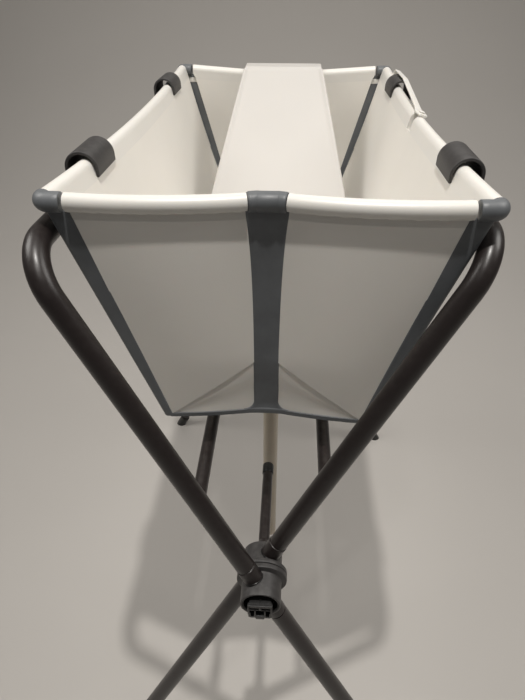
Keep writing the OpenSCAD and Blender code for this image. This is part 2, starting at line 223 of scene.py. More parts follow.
def extruded(outline, y0, y1, r, n=4):
    """A closed outline in the XZ plane carried from y0 to y1, its ends rounded with radius r."""
    after = np.roll(outline, -1, 0)
    tangent = unit(after - np.roll(outline, 1, 0))
    outward = np.stack([tangent[:, 1], -tangent[:, 0]], axis=1)
    if np.sum(outline[:, 0] * after[:, 1] - after[:, 0] * outline[:, 1]) <= 0:
        outward = -outward
    t = np.linspace(0, np.pi / 2, n + 1)
    inset, ease = r * (1 - np.sin(t)), r * (1 - np.cos(t))
    ys = np.concatenate([y0 + ease, (y1 - ease)[::-1]])
    flat = outline - outward * np.concatenate([inset, inset[::-1]])[:, None, None]
    return loft(points(flat[..., 0], ys[:, None], flat[..., 1]))


def thick_line(path, half):
    """A closed outline that keeps a set distance on both sides of a flat path, with rounded ends."""
    tangent = unit(np.gradient(path, axis=0))
    normal = np.stack([-tangent[:, 1], tangent[:, 0]], axis=1)
    half = np.broadcast_to(half, len(path))[:, None]
    turn = np.linspace(0, np.pi, 7)[1:-1][:, None]
    end = path[-1] + half[-1] * (normal[-1] * np.cos(turn) + tangent[-1] * np.sin(turn))
    start = path[0] - half[0] * (normal[0] * np.cos(turn) + tangent[0] * np.sin(turn))
    return np.concatenate([path + normal * half, end, (path - normal * half)[::-1], start])


def rectangle(x0, x1, z0, z1, r):
    """A rectangle with corners softened by r."""
    return softened([[x0, z0], [x1, z0], [x1, z1], [x0, z1]], r)


def arc(centre, r, a0, a1, n=16):
    """Points of a flat circular arc from angle a0 to a1, in degrees."""
    a = np.radians(np.linspace(a0, a1, n))
    return np.stack([centre[0] + r * np.cos(a), centre[1] + r * np.sin(a)], axis=1)


# ---- materials ----

def new_group(name, ins, outs):
    """A shader node group with named sockets, and its input and output nodes."""
    group = bpy.data.node_groups.new(name, "ShaderNodeTree")
    for side, sockets in (("INPUT", ins), ("OUTPUT", outs)):
        for label, kind, value in sockets:
            socket = group.interface.new_socket(label, in_out=side, socket_type="NodeSocket" + kind)
            if value is not None:
                socket.default_value = value
    return group, group.nodes.new("NodeGroupInput"), group.nodes.new("NodeGroupOutput")


def add_node(tree, kind, values=None, **settings):
    """A new shader node with its settings and the values of its inputs."""
    made = tree.nodes.new("ShaderNode" + kind)
    for key, value in settings.items():
        setattr(made, key, value)
    for socket, value in (values or {}).items():
        made.inputs[socket].default_value = value
    return made


def connect(tree, *lines):
    """Links, each given as (from node, its output, to node, its input)."""
    for source, out, target, into in lines:
        tree.links.new(source.outputs[out], target.inputs[into])


def moulded_group():
    """Moulded skin: slow clouds of colour, a fine grain as height, and roughness that follows the grain."""
    if "Moulded skin" in bpy.data.node_groups:
        return bpy.data.node_groups["Moulded skin"]
    group, given, result = new_group(
        "Moulded skin",
        [("Vector", "Vector", None), ("Colour", "Color", (0.8, 0.8, 0.8, 1)),
         ("Second colour", "Color", (0.7, 0.7, 0.7, 1)), ("Cloud scale", "Float", 6.0),
         ("Cloud amount", "Float", 0.5), ("Grain scale", "Float", 900.0),
         ("Roughness", "Float", 0.5), ("Roughness spread", "Float", 0.1)],
        [("Colour", "Color", None), ("Roughness", "Float", None), ("Height", "Float", None)])
    cloud = add_node(group, "TexNoise", {"Detail": 4.0, "Roughness": 0.6})
    grain = add_node(group, "TexNoise", {"Detail": 3.0})
    cells = add_node(group, "TexVoronoi", feature="F1")
    patches = add_node(group, "MapRange", {"From Min": 0.35, "From Max": 0.68})
    share = add_node(group, "Math", operation="MULTIPLY")
    mix = add_node(group, "Mix", data_type="RGBA")
    centred = add_node(group, "Math", {1: 0.5}, operation="SUBTRACT")
    rough = add_node(group, "Math", operation="MULTIPLY_ADD")
    height = add_node(group, "Math", {1: 0.45}, operation="MULTIPLY_ADD")
    connect(
        group,
        (given, "Vector", cloud, "Vector"), (given, "Cloud scale", cloud, "Scale"),
        (given, "Vector", grain, "Vector"), (given, "Grain scale", grain, "Scale"),
        (given, "Vector", cells, "Vector"), (given, "Grain scale", cells, "Scale"),
        (cloud, "Fac", patches, "Value"), (patches, "Result", share, 0),
        (given, "Cloud amount", share, 1), (share, 0, mix, "Factor"),
        (given, "Colour", mix, "A"), (given, "Second colour", mix, "B"),
        (mix, "Result", result, "Colour"), (grain, "Fac", centred, 0),
        (centred, 0, rough, 0), (given, "Roughness spread", rough, 1),
        (given, "Roughness", rough, 2), (rough, 0, result, "Roughness"),
        (cells, "Distance", height, 0), (grain, "Fac", height, 2), (height, 0, result, "Height"))
    return group


def dust_group():
    """Settled dust: a thin pale veil where the surface faces up, broken by noise."""
    if "Settled dust" in bpy.data.node_groups:
        return bpy.data.node_groups["Settled dust"]
    group, given, result = new_group(
        "Settled dust",
        [("Vector", "Vector", None), ("Colour", "Color", (0.5, 0.5, 0.5, 1)),
         ("Dust colour", "Color", (0.6, 0.58, 0.55, 1)), ("Amount", "Float", 0.2)],
        [("Colour", "Color", None), ("Mask", "Float", None)])
    surface = add_node(group, "NewGeometry")
    split = add_node(group, "SeparateXYZ")
    up = add_node(group, "MapRange", {"From Min": 0.1})
    noise = add_node(group, "TexNoise", {"Scale": 140.0, "Detail": 6.0})
    specks = add_node(group, "MapRange", {"From Min": 0.42, "From Max": 0.75})
    settled = add_node(group, "Math", operation="MULTIPLY")
    mask = add_node(group, "Math", operation="MULTIPLY")
    mix = add_node(group, "Mix", data_type="RGBA")
    connect(
        group,
        (surface, "Normal", split, 0), (split, "Z", up, "Value"), (given, "Vector", noise, "Vector"),
        (noise, "Fac", specks, "Value"), (up, "Result", settled, 0), (specks, "Result", settled, 1),
        (settled, 0, mask, 0), (given, "Amount", mask, 1), (mask, 0, mix, "Factor"),
        (mask, 0, result, "Mask"), (given, "Colour", mix, "A"), (given, "Dust colour", mix, "B"),
        (mix, "Result", result, "Colour"))
    return group


def linear(c):
    """A colour as seen on a screen, turned into the linear values that shaders take."""
    c = np.asarray(c, float)
    return tuple(np.where(c <= 0.04045, c / 12.92, ((c + 0.055) / 1.055) ** 2.4).tolist()) + (1.0,)


def tones(key, second, share=1.0):
    """One of the scene's colours times a share, and the second tone of its clouds."""
    colour = getattr(bpy.context.scene.bath_colours, key)
    return [tuple(x * k for x in colour) for k in (share, share * second)]


def finish_of(name, colour, second, rough, spread, cloud=0.5, cloud_scale=6.0, grain=1500.0, bump=0.0001,
              dust=0.0, coat=0.0, soft=0.0):
    """A material of moulded skin with a little dust; soft lets light in under the surface."""
    if name in bpy.data.materials:
        return bpy.data.materials[name]
    mat = bpy.data.materials.new(name)
    mat.use_nodes = True
    tree = mat.node_tree
    shader = tree.nodes["Principled BSDF"]
    where = add_node(tree, "TexCoord")
    skin = add_node(tree, "Group", node_tree=moulded_group())
    veil = add_node(tree, "Group", {"Amount": dust}, node_tree=dust_group())
    relief = add_node(tree, "Bump", {"Strength": 0.6, "Distance": bump})
    for label, value in (("Colour", linear(colour)), ("Second colour", linear(second)),
                         ("Cloud scale", cloud_scale), ("Cloud amount", cloud), ("Grain scale", grain),
                         ("Roughness", rough), ("Roughness spread", spread)):
        skin.inputs[label].default_value = value
    connect(
        tree,
        (where, "Object", skin, "Vector"), (where, "Object", veil, "Vector"),
        (skin, "Colour", veil, "Colour"), (veil, "Colour", shader, "Base Color"),
        (skin, "Roughness", shader, "Roughness"), (skin, "Height", relief, "Height"),
        (relief, "Normal", shader, "Normal"))
    shader.inputs["Coat Weight"].default_value = coat
    shader.inputs["Coat Roughness"].default_value = 0.25
    if soft:
        shader.inputs["Subsurface Weight"].default_value = soft
        shader.inputs["Subsurface Radius"].default_value = (0.004, 0.003, 0.002)
        shader.inputs["Subsurface Scale"].default_value = 1.0
    return mat


def paint():
    """Warm dark grey powder coat on tube: fine orange-peel bumps, slight wear of tone and some dust on top."""
    return finish_of("Powder coat", *tones("tube", 1.08), rough=0.36, spread=0.12,
                     cloud_scale=12.0, bump=0.00008, dust=0.03, coat=0.15)


def panel():
    """Warm white moulded panel with a fine matt grain."""
    return finish_of("Panel white", *tones("panel", 0.965), rough=0.56, spread=0.12,
                     cloud=0.6, cloud_scale=5.0, grain=1300.0, dust=0.03, soft=0.06)


def rim_white():
    """Brighter, glossier white of the rolled rims and the strap."""
    return finish_of("Rim white", *tones("rim", 0.975), rough=0.36, spread=0.10,
                     cloud_scale=7.0, grain=1700.0, bump=0.00006, dust=0.02, coat=0.12, soft=0.05)


def shaded_support_white():
    """White of the newborn support: the panels' own plastic given a darker colour as painted shade against the
    strong light on it; smooth and a little less bright than the rims.
    """
    return finish_of("Support white", *tones("support", 0.98), rough=0.42, spread=0.10,
                     bump=0.00008, dust=0.02, coat=0.08, soft=0.05)


def soft_grey():
    """Grey soft moulding: matt, with fine flow clouds."""
    return finish_of("Soft grey", *tones("soft", 0.84), rough=0.42, spread=0.14,
                     cloud=0.7, cloud_scale=26.0, grain=1100.0, bump=0.00012, dust=0.04)


def hook_grey():
    """Dark grey moulded nylon with a fine spark-eroded grain."""
    return finish_of("Hook grey", *tones("plastic", 0.88), rough=0.50, spread=0.12,
                     cloud_scale=18.0, grain=1600.0, dust=0.04)


def hub_grey():
    """Slightly lighter grey moulded hub."""
    return finish_of("Hub grey", *tones("plastic", 0.9, 1.06), rough=0.46,
                     spread=0.12, cloud_scale=22.0, dust=0.06)


def black():
    """Near-black moulding and rubber; also the painted shade of the gaps and the recess in the hub."""
    return finish_of("Black moulding", (0.085, 0.085, 0.088), (0.07, 0.07, 0.07), rough=0.36, spread=0.16,
                     cloud=0.6, cloud_scale=30.0, grain=1000.0, bump=0.00012, dust=0.03)


def steel():
    """Plain axle steel."""
    mat = finish_of("Axle steel", (0.62, 0.62, 0.63), (0.55, 0.55, 0.56), rough=0.32, spread=0.2,
                    cloud=0.6, cloud_scale=60.0, grain=2500.0, bump=0.00003)
    mat.node_tree.nodes["Principled BSDF"].inputs["Metallic"].default_value = 1.0
    return mat


def hose_skin():
    """Beige, slightly see-through soft hose."""
    return finish_of("Hose beige", *tones("hose", 0.9), rough=0.34, spread=0.1,
                     cloud=0.6, cloud_scale=14.0, grain=700.0, bump=0.00012, dust=0.04, coat=0.2, soft=0.25)


# ---- shapes shared by several pieces ----

def side_point(n, s, y):
    """Left side wall: n inwards from its middle surface, s up the slope, y along the bath."""
    return points(-FLOOR_HALF + n * math.cos(TILT) - s * math.sin(TILT), y,
                  FLOOR_Z + n * math.sin(TILT) + s * math.cos(TILT))


def side_dip(y):
    """How far the side rim lies below its corners: a parabola that is nothing at the end walls."""
    return RIM_DIP * (1 - (y / END_Y) ** 2)


def inner_face(depth):
    """How far a wall's inner face stands in, at a depth below the roll's centre: it eases out to the roll."""
    return WALL_HALF + (RIM_R - WALL_HALF) * ramp(depth, EASE, 0) ** 1.6


def curl_section():
    """The rolled rim's section, seen along the rim: (outwards is negative, height from the roll's centre).
    It goes up the inner face, round the roll, ends in a hanging lip and comes back inside to the outer face."""
    lip_r, lip_at = 0.9, 232
    depth = CURL * (1 - np.linspace(0, 1, 10)[:-1])
    inner = np.column_stack([inner_face(depth), -depth])
    roll = arc((0, 0), RIM_R, 0, lip_at, 30)
    lip_centre = arc((0, 0), RIM_R - lip_r, lip_at, lip_at, 1)[0]
    lip = arc(lip_centre, lip_r, lip_at, 400, 6)[1:-1]
    back = arc((0, 0), RIM_R - 2 * lip_r, lip_at, 104, 14)
    return np.concatenate([inner, roll, lip, back, [[-WALL_HALF, 0.0], [-WALL_HALF, -CURL]]])


# how much each point of that section belongs to the lip's lower end
LIP = np.concatenate([np.zeros(9 + 27), [0.4, 0.8, 1.0], np.ones(4), [1.0, 0.7, 0.3], np.zeros(13)])


def end_arc():
    """Radius and centre of the bowed end wall, from its chord and its bulge."""
    outer, inner = RIM_HALF - 17, 18.0
    chord = math.hypot(outer - inner, END_IN)
    r = (chord * chord / 4 + END_BULGE ** 2) / (2 * END_BULGE)
    return (r, -(outer + inner) / 2 - (r - END_BULGE) * END_IN / chord,
            -END_Y + END_IN / 2 + (r - END_BULGE) * (outer - inner) / chord)


def end_y(x):
    """Y of the left half of the front wall at x, on its arc."""
    r, cx, cy = end_arc()
    return cy - np.sqrt(r * r - (x - cx) ** 2)


def end_normal(x):
    """Inward unit normal of that arc, seen from above."""
    r, cx, cy = end_arc()
    return np.stack([cx - x, cy - end_y(x)], axis=-1) / r


def end_bow(u, z):
    """How far the end wall bows outwards, u from its slanted edge to the centre strip and at height z."""
    return BOW * np.sin(np.pi * u) * np.sin(np.pi * ramp(z, 846, 1081))


def corner_x(z):
    """X of the end wall's slanted outer edge at height z."""
    return -CORNER_LOW - (z - WALL_FOOT) * CORNER_FLARE / (RIM_Z - WALL_FOOT)


def strip_w(z):
    """Half width of the soft centre strip at height z: narrow low down, widening exponentially to the rim."""
    return STRIP_LOW + STRIP_FLARE * np.exp(-np.maximum(RIM_Z - 9 - z, 0.0) / 50.0)


def vee_z(x):
    """Height of the fold line of the left half wall: low at the corner, highest at the centre strip."""
    return WALL_FOOT + ramp(x, -CORNER_LOW, -STRIP_LOW) * (VEE_Z - WALL_FOOT)


def push(x, z):
    """How far the end wall stands out: 7 at its fold line's upper end, nothing at the rim and the corners."""
    top = RIM_Z - 20
    low = 0.62 + 0.38 * ramp(z, FLOOR_Z, VEE_Z)
    return 7.0 * ramp(x, -120, -14) ** 1.2 * ramp(z, top, VEE_Z) ** 1.3 * low


def sag_share(z):
    """The share of its sag that an end wall shows at height z, all of it at the rim."""
    return ramp(z, SAG_FROM, RIM_Z)


def paint_rim(piece, on_rim):
    """Gives the faces of a rolled rim the glossier white; on_rim picks them by their centres."""
    mesh = piece.data
    mesh.materials.append(rim_white())
    centre = np.empty(len(mesh.polygons) * 3)
    mesh.polygons.foreach_get("center", centre)
    mesh.polygons.foreach_set("material_index", on_rim(*centre.reshape(-1, 3).T / MM).astype(np.int32))


def on_side_rim(x, y, z):
    """Whether a point of a side wall lies less than 16 below its roll's centre, or higher."""
    up = (np.abs(x) - FLOOR_HALF) * math.sin(TILT) + (z - FLOOR_Z) * math.cos(TILT)
    return up > SIDE_H - side_dip(np.clip(y, -END_Y, END_Y)) - 16


def on_end_rim(x, y, z):
    """The same for an end wall, down to 18 below."""
    return z > RIM_Z - 18


# ---- settings ----

def colour_setting(name, description, default):
    """A colour, as seen on a screen."""
    return bpy.props.FloatVectorProperty(name=name, description=description, subtype="COLOR_GAMMA", size=3,
                                         min=0, max=1, default=default)


def length_setting(name, description, default, low, high):
    """A length in metres."""
    return bpy.props.FloatProperty(name=name, description=description, unit="LENGTH", default=default,
                                   min=low, max=high)


class BathColours(bpy.types.PropertyGroup):
    """Colours of the finishes, as seen on a screen"""
    panel: colour_setting("Panels", "Warm white of the panels", (0.925, 0.912, 0.885))
    rim: colour_setting("Rims", "White of the rims and the strap", (0.905, 0.895, 0.872))
    # the support's white is darker than the panels' same plastic: painted shade against the strong light it gets
    support: colour_setting("Support", "White of the newborn support", (0.80, 0.788, 0.77))
    soft: colour_setting("Soft strips", "Grey of the soft strips", (0.405, 0.418, 0.43))
    tube: colour_setting("Tubes", "Dark warm grey of the tubes", (0.135, 0.112, 0.108))
    plastic: colour_setting("Hooks and hubs", "Dark grey of the mouldings", (0.222, 0.216, 0.215))
    hose: colour_setting("Hose", "Beige of the drain hose", (0.70, 0.655, 0.58))


class BathSizes(bpy.types.PropertyGroup):
    """Sizes of details that the solids leave plain"""
    wall: length_setting("Wall", "Thickness of the moulded walls", 0.0025, 0.0018, 0.0032)
    bead: length_setting("Support bead", "Height of the raised edge of the support", 0.0028, 0.001, 0.003)
    hook_edge: length_setting("Hook edge", "Radius of the edges of the hooks", 0.0012, 0.0004, 0.0018)


# ---- piece makers ----

# corners of the bath: name, how its bodies' names end, and how it is mirrored in X and Y
CORNERS = (("front_left", "front_a", 1, 1), ("front_right", "front_b", -1, 1),
           ("rear_left", "rear_a", 1, -1), ("rear_right", "rear_b", -1, -1))


class BATH_OT_side_walls(bpy.types.Operator):
    """Side walls with their rolled rims; the right one has the gap for the strap's pin"""
    bl_idname = "bath.side_walls"
    bl_label = "Side walls"

    def execute(self, context):
        half = context.scene.bath_sizes.wall / MM / 2
        section = curl_section()
        v = np.linspace(0, 1, 17)
        end, pin_gap, joint = 326.0, 10.0, 0.3

        def rim_part(y0, y1, ny, wall=True, roll=True):
            """The wall, its rolled rim or both, from y0 to y1."""
            y = np.linspace(y0, y1, ny)
            top = (SIDE_H - side_dip(y))[:, None]
            bow = BOW * np.sin(np.pi * v) * np.sin(np.pi * (y / END_Y + 1) / 2)[:, None] ** 2
            low = v * (top - CURL - (joint if roll else 0.0))
            roll_n = np.broadcast_to(section[:, 0], (ny, len(section)))
            ns = ([inner_face(top - low) - WALL_HALF + half - bow] * wall + [roll_n] * roll
                  + [(-half - bow)[:, ::-1]] * wall)
            ss = [low] * wall + [top + section[:, 1]] * roll + [low[:, ::-1]] * wall
            return loft(side_point(np.concatenate(ns, axis=1), np.concatenate(ss, axis=1), y[:, None]))

        boss = lathe([[2.6, -8.6], [4.7, -9.6], [4.7, -2.6], [2.6, -2.6]], 0.7,
                     side_point(0, SIDE_H - RIM_DIP, 0), side_point(0, 1, 0) - side_point(0, 0, 0), 32)
        gapped = [rim_part(-end, end, 65, roll=False), rim_part(-end, -pin_gap, 33, wall=False),
                  rim_part(pin_gap, end, 33, wall=False), boss]
        for name, side, sx, parts in (("left", "a", 1, [rim_part(-end, end, 65)]), ("right", "b", -1, gapped)):
            wall = put("side_wall_" + name, parts, panel(), "frame_" + side, "side_panel_" + side,
                       flip=(sx, 1))
            paint_rim(wall, on_side_rim)
        return {"FINISHED"}


class BATH_OT_end_walls(bpy.types.Operator):
    """The four stiff halves of the end walls with their rims, and the thin triangles under their fold lines"""
    bl_idname = "bath.end_walls"
    bl_label = "End walls"

    def execute(self, context):
        half = context.scene.bath_sizes.wall / MM / 2
        section = curl_section()
        u, v = np.linspace(0, 1, 49)[:, None], np.linspace(0, 1, 17)[None]
        z_top = RIM_Z - CURL - 0.6
        overlap = 1.2
        # the stiff part is four-sided: slanted outer edge, rim, centre strip and the fold line between the two
        z_out = WALL_FOOT + v * (z_top - WALL_FOOT)
        z_in = VEE_Z + v * (z_top - VEE_Z)
        z = (1 - u) * z_out + u * z_in
        x = (1 - u) * corner_x(z_out) + u * (overlap - strip_w(z_in))
        bow = end_bow(u, z)
        # the roll's ends are upright down to 6 below its centre, and reach the wall's slanted edges at 12 below
        roll_z = RIM_Z + section[:, 1]
        low = ramp(section[:, 1], -6, -12)
        roll_left = -166.4 * (1 - low) + corner_x(roll_z) * low
        roll_right = -17.9 * (1 - low) + (overlap - strip_w(roll_z)) * low
        roll_x = roll_left + u * (roll_right - roll_left)
        roll_n = section[:, 0] - end_bow(u, roll_z)
        # the hanging lip ends a little unevenly
        ragged = 0.45 * np.sin(u * 71) * np.sin(u * 23 + 1) * LIP

        def place(x, n, z):
            """Points of the front wall's left half: n inwards from its bowed and pushed surface."""
            normal = end_normal(x)
            return points(x + normal[..., 0] * n, end_y(x) + normal[..., 1] * n - push(x, z), z)

        def sagged(rows, sag):
            """Lowers a grid of points towards the middle of the end wall, most at the rim."""
            rows = rows.copy()
            k = ramp(rows[..., 0], -166, -18)
            rows[..., 2] -= sag * (1 - (1 - k) ** 1.6) * sag_share(rows[..., 2])
            return rows

        rows = np.concatenate([
            place(x, inner_face(RIM_Z - z) - WALL_HALF + half - bow, z), place(roll_x, roll_n, roll_z - ragged),
            place(x[:, ::-1], -half - bow[:, ::-1], z[:, ::-1])], axis=1)
        # the triangle under the fold line, a little creased
        gx, gv = np.linspace(-101.0, -11.0, 30), np.linspace(0, 1, 10)[:, None]
        gz = FLOOR_Z + 0.3 + gv * np.maximum(vee_z(gx) - FLOOR_Z - 0.5, 0.8)
        crease = 1.2 * np.sin(np.pi * np.clip(gv * 1.4, 0, 1)) * ramp(gx, -101, -61)
        gusset = slab(place(gx, crease, gz), 0.8)
        # the trim along the foot, from the corner to the centre strip
        bx = np.linspace(-103.0, -9.0, 40)
        bz = FLOOR_Z - 1.9 + np.linspace(0, 1, 4)[:, None] * (4.6 + 0.9 * (bx + 103) / 94)
        edge = slab(place(bx, -0.5, bz), 1.7)
        for name, tail, sx, sy in CORNERS:
            flip, body = (sx, sy), "end_" + tail
            wall = loft(sagged(rows, SAG[sy]))
            wall = put("end_wall_" + name, [wall], panel(), body, body, flip=flip)
            paint_rim(wall, on_end_rim)
            put("fold_triangle_" + name, [gusset], panel(), body, "gusset_" + tail, flip=flip)
            put("foot_trim_" + name, [edge], soft_grey(), body, flip=flip)
        return {"FINISHED"}


class BATH_OT_soft_strips(bpy.types.Operator):
    """Soft corner strips with their sleeves, centre strips, and the strip in the floor"""
    bl_idname = "bath.soft_strips"
    bl_label = "Soft strips"

    def execute(self, context):
        self.corners()
        self.centres()
        self.floor()
        return {"FINISHED"}

    def corners(self):
        """Corner strips: down a side wall's end, round a small bend and along the end wall, with sleeves."""
        z = np.linspace(FLOOR_Z - 0.4, RIM_Z - 7.5, 25)[:, None]
        side_x = -(FLOOR_HALF + (z - FLOOR_Z) * math.tan(TILT))
        edge_x = corner_x(z) + 0.6
        r = 3.4
        share = np.array([0.0, 0.35, 0.62, 0.8, 0.92, 1.0])
        bend = arc((0, 0), r, 180, 270, 7)[1:-1]
        strip = slab(np.concatenate([
            points(side_x, -END_Y + r + 7.0 * (1 - share), z),
            points(side_x + r + bend[:, 0], -END_Y + r + bend[:, 1], z),
            points(side_x + r + np.linspace(0, 1, 7) * (edge_x - side_x - r), -END_Y, z)], axis=1), 1.35)
        r = 6.4
        path = np.concatenate([
            [[-RIM_HALF, -324.8], [-RIM_HALF, -325.3]], arc((-RIM_HALF + r, -END_Y + r), r, 180, 270, 12),
            [[-176.0, -332.0], [-170.4, -332.1], [-169.8, -332.1]]])
        fat = np.concatenate([[8.1, 8.5], np.full(len(path) - 4, 8.7), [8.6, 8.1]])
        sleeve = sweep(points(path[:, 0], path[:, 1], RIM_Z), fat, (0, 0, 1))
        bar_z = RIM_Z - 17.0
        bar_x = corner_x(bar_z)
        bar = extruded(rectangle(bar_x - 17.5, bar_x + 2.5, bar_z - 4, bar_z + 4, 1.5), -333.8, -330.0, 0.6)
        for name, tail, sx, sy in CORNERS:
            pieces = [put("corner_strip_" + name, [strip, sleeve], soft_grey(), None,
                          "corner_" + tail, flip=(sx, sy), sharp=50)]
            if sy == -1:
                pieces.append(put("corner_bar_" + name, [bar], rim_white(), None, flip=(sx, sy)))
            for piece in pieces:
                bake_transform(piece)

    def centres(self):
        """Centre strips: a sheet along the fold, flared into the foot trim, and a sleeve round the rims' ends."""
        flare_r, flare_z = 11.0, FLOOR_Z + 3.6
        z = np.concatenate([
            np.linspace(FLOOR_Z - 1.9, FLOOR_Z + 3.4, 4),
            flare_z + flare_r * (1 - np.cos(np.linspace(0, np.pi / 2, 10))),
            [FLOOR_Z + 18], np.linspace(FLOOR_Z + 24, RIM_Z - 5, 34)])
        rise = np.clip(z - flare_z, 0, flare_r)
        half_w = strip_w(z) + flare_r - np.sqrt(flare_r ** 2 - (flare_r - rise) ** 2)
        q = np.linspace(-1, 1, 15)
        y = (end_y(-half_w) - push(-half_w, z))[:, None] + (1 - q ** 2)
        x = np.linspace(-17.2, 17.2, 27)
        sleeve_y = np.where(np.abs(x) < 9, end_y(-9.0) - 0.012 * (81 - x ** 2), end_y(-np.abs(x)))
        sleeve_r = 8.9 - 0.8 * ramp(np.abs(x), 15.9, 17.2) ** 2 + 0.25 * np.exp(-(x / 6.0) ** 2)
        for end, sy in (("front", 1), ("rear", -1)):
            sag = SAG[sy]
            strip = slab(points(half_w[:, None] * q, y, (z - sag * sag_share(z))[:, None]), 1.75)
            sleeve = sweep(points(x, sleeve_y, RIM_Z - sag), sleeve_r, (0, 0, 1))
            body = "centre_" + end
            put("centre_strip_" + end, [strip, sleeve], soft_grey(), body, body, flip=(1, sy), sharp=50)

    def floor(self):
        """Floor: the middle band moves with the drain, a wing and a board with each stiff half."""
        y = np.linspace(-311.5, 311.5, 60)[:, None]

        def band(x0, x1, nx):
            """A ribbed sheet between two places across the floor."""
            x = np.linspace(x0, x1, nx)
            return slab(points(x, y, FLOOR_Z + 0.7 + 0.5 * np.sin(x / 41.0 * 6 * np.pi) ** 2), 0.8)

        put("floor_strip_middle", [band(-20.4, 20.4, 17)], soft_grey(), "drain", "floor_strip")
        board_y = np.linspace(-311, 311, 60)[:, None]
        board = slab(points(np.linspace(-105.9, -42.2, 24), board_y, FLOOR_Z + 0.85), 1.2)
        for name, sx, body in (("left", 1, "floor_a"), ("right", -1, "floor_b")):
            put("floor_strip_" + name, [band(-41.2, -20.0, 11)], soft_grey(), body, flip=(sx, 1))
            put("floor_board_" + name, [board], panel(), body, body, flip=(sx, 1))


def upper_path():
    """The bent upper tube's centre line: arm, bend, rail, bend, arm, as straight runs and arcs in its plane."""
    c0, c1 = FRONT_Y + LEAN * ARM_S, REAR_Y - LEAN * ARM_S
    lean = math.degrees(math.atan(LEAN))
    t = BEND_R * math.tan(math.radians(90 - lean) / 2)
    f = arc((c0 + t, ARM_S - BEND_R), BEND_R, 180 - lean, 90, 22)
    g = arc((c1 - t, ARM_S - BEND_R), BEND_R, 90, lean, 22)
    k = np.linspace(0, 1, 12)[:-1, None]
    start, end = ([[y + way * TUBE_START, TUBE_START]] for y, way in ((FRONT_Y, LEAN), (REAR_Y, -LEAN)))
    flat = np.concatenate([start + (f[0] - start) * k, f[:-1], f[-1] + (g[0] - f[-1]) * k, g[:-1],
                           g[-1] + (end - g[-1]) * k, end])
    return points(flat[:, 1] * ARM[0], flat[:, 0], HUB_Z + flat[:, 1] * ARM[1])


class BATH_OT_tubes(bpy.types.Operator):
    """Painted tubes: two bent upper tubes, four legs, two cross bars and the rod behind the front hub"""
    bl_idname = "bath.tubes"
    bl_label = "Tubes"

    def execute(self, context):
        upper = sweep(upper_path(), TUBE_R, (ARM[1], 0, -ARM[0]))
        # cross bar: 150.6 up the arms, 3 to one side, between the arms' inner faces
        bar_at, bar_side, bar_in = 150.6, 3.0, 15.06 + 10.8
        bar_x, bar_z = ARM * bar_at - bar_side * np.array([ARM[1], -ARM[0]])
        bar_y = np.linspace(FRONT_Y + bar_in, REAR_Y - bar_in, 14)
        bar = sweep(points(bar_x, bar_y, HUB_Z + bar_z), 7.75, (0, 0, 1), 30)
        s = np.linspace(TUBE_START, LEG_S - 11.5, 12)
        legs = [sweep(points(s * LEG[0], y0 + lean * s, HUB_Z + s * LEG[1]), TUBE_R, (LEG[1], 0, -LEG[0]))
                for y0, lean in ((FRONT_Y, -LEAN), (REAR_Y, LEAN))]
        for side, turn, ends in (("a", 1, ("front", "rear")), ("b", -1, ("rear", "front"))):
            parts = [("leg_tube_%s_" % end, "leg_%s_" % end, leg) for end, leg in zip(ends, legs)]
            for name, node, part in [("upper_tube_smooth_", "upper_tube_", upper), *parts,
                                     ("cross_bar_smooth_", "cross_bar_", bar)]:
                put(name + side, [part], paint(), "frame_" + side, node + side, flip=(turn, turn))
        rod = [[0.3, 0], [10.3, 0], [10.3, 8], [7, 13], [7, 134], [0.3, 134]]
        cap = [[0.3, 122], [8, 122], [8, 138.6], [0.3, 138.8]]
        for name, profile, r, mat, slot, node in (
                ("stub_rod_smooth", rod, 1.6, paint(), "tube_paint", "stub_rod"),
                ("rod_cap", cap, 1.8, black(), "foot_black", "stub_cap")):
            put(name, [hub_lathe(profile, r, -371.6, 48)], mat, "core", node)
        return {"FINISHED"}


def hub_shadow_ring(y0, axis):
    """A thin black ring of painted shade for the gap where a tube's end enters the barrel, following that
    saddle-shaped line.
    """
    barrel_r, tube_r = 23.5, 11.5
    side = unit(np.cross(axis, (0, 1, 0)))
    across = np.cross(side, axis)
    turn = circle(56)[:, None]
    out = side * np.cos(turn) + across * np.sin(turn)
    high = np.sqrt(barrel_r ** 2 - (tube_r * np.cos(turn)) ** 2) - axis[1] * tube_r * np.sin(turn)
    centre = np.array([0, y0, HUB_Z]) + tube_r * out + axis * high
    small = circle(10)[:, None]
    return ring_loft(centre[:, None] + 0.75 * (out[:, None] * np.cos(small) + axis * np.sin(small)))


def button_parts():
    """The release button's blocks: a tray with walls, a cross web, two posts and a tongue."""
    f, b = -449.0, -427.4  # front and back
    single = ((-14, 14, 12.8, 15, f, f + 2.6, 0.9), (-12.6, 12.6, 6.6, 9.4, f + 2, b, 0.9),
              (-11.8, 11.8, -14.9, -12.0, f + 2, b, 1.2), (-12, 12, 2.6, 4.6, f + 1.4, b, 0.5),
              (-5, 5, -14.6, -7.8, f + 0.4, b - 6, 1.0), (-13, 13, -13, 13, b - 2.2, b, 0.5),
              (-1.2, 1.2, 4.4, 13.4, f + 0.6, b - 12, 0.5))
    paired = ((11.8, 14, -4, 14, f, f + 5, 0.5), (11.3, 12.9, -4, 9, f + 4, b, 0.5),
              (10.6, 13.4, -12.0, -2.6, f + 1.2, b, 0.9), (4.6, 6.6, -12.6, 3.4, f + 0.8, b, 0.5))
    mirrored = tuple((-x1, -x0, *rest) for x0, x1, *rest in paired)
    return [extruded(rectangle(x0, x1, z0, z1, r) + [0, HUB_Z], y0, y1, min(r, 0.45))
            for x0, x1, z0, z1, y0, y1, r in single + paired + mirrored]


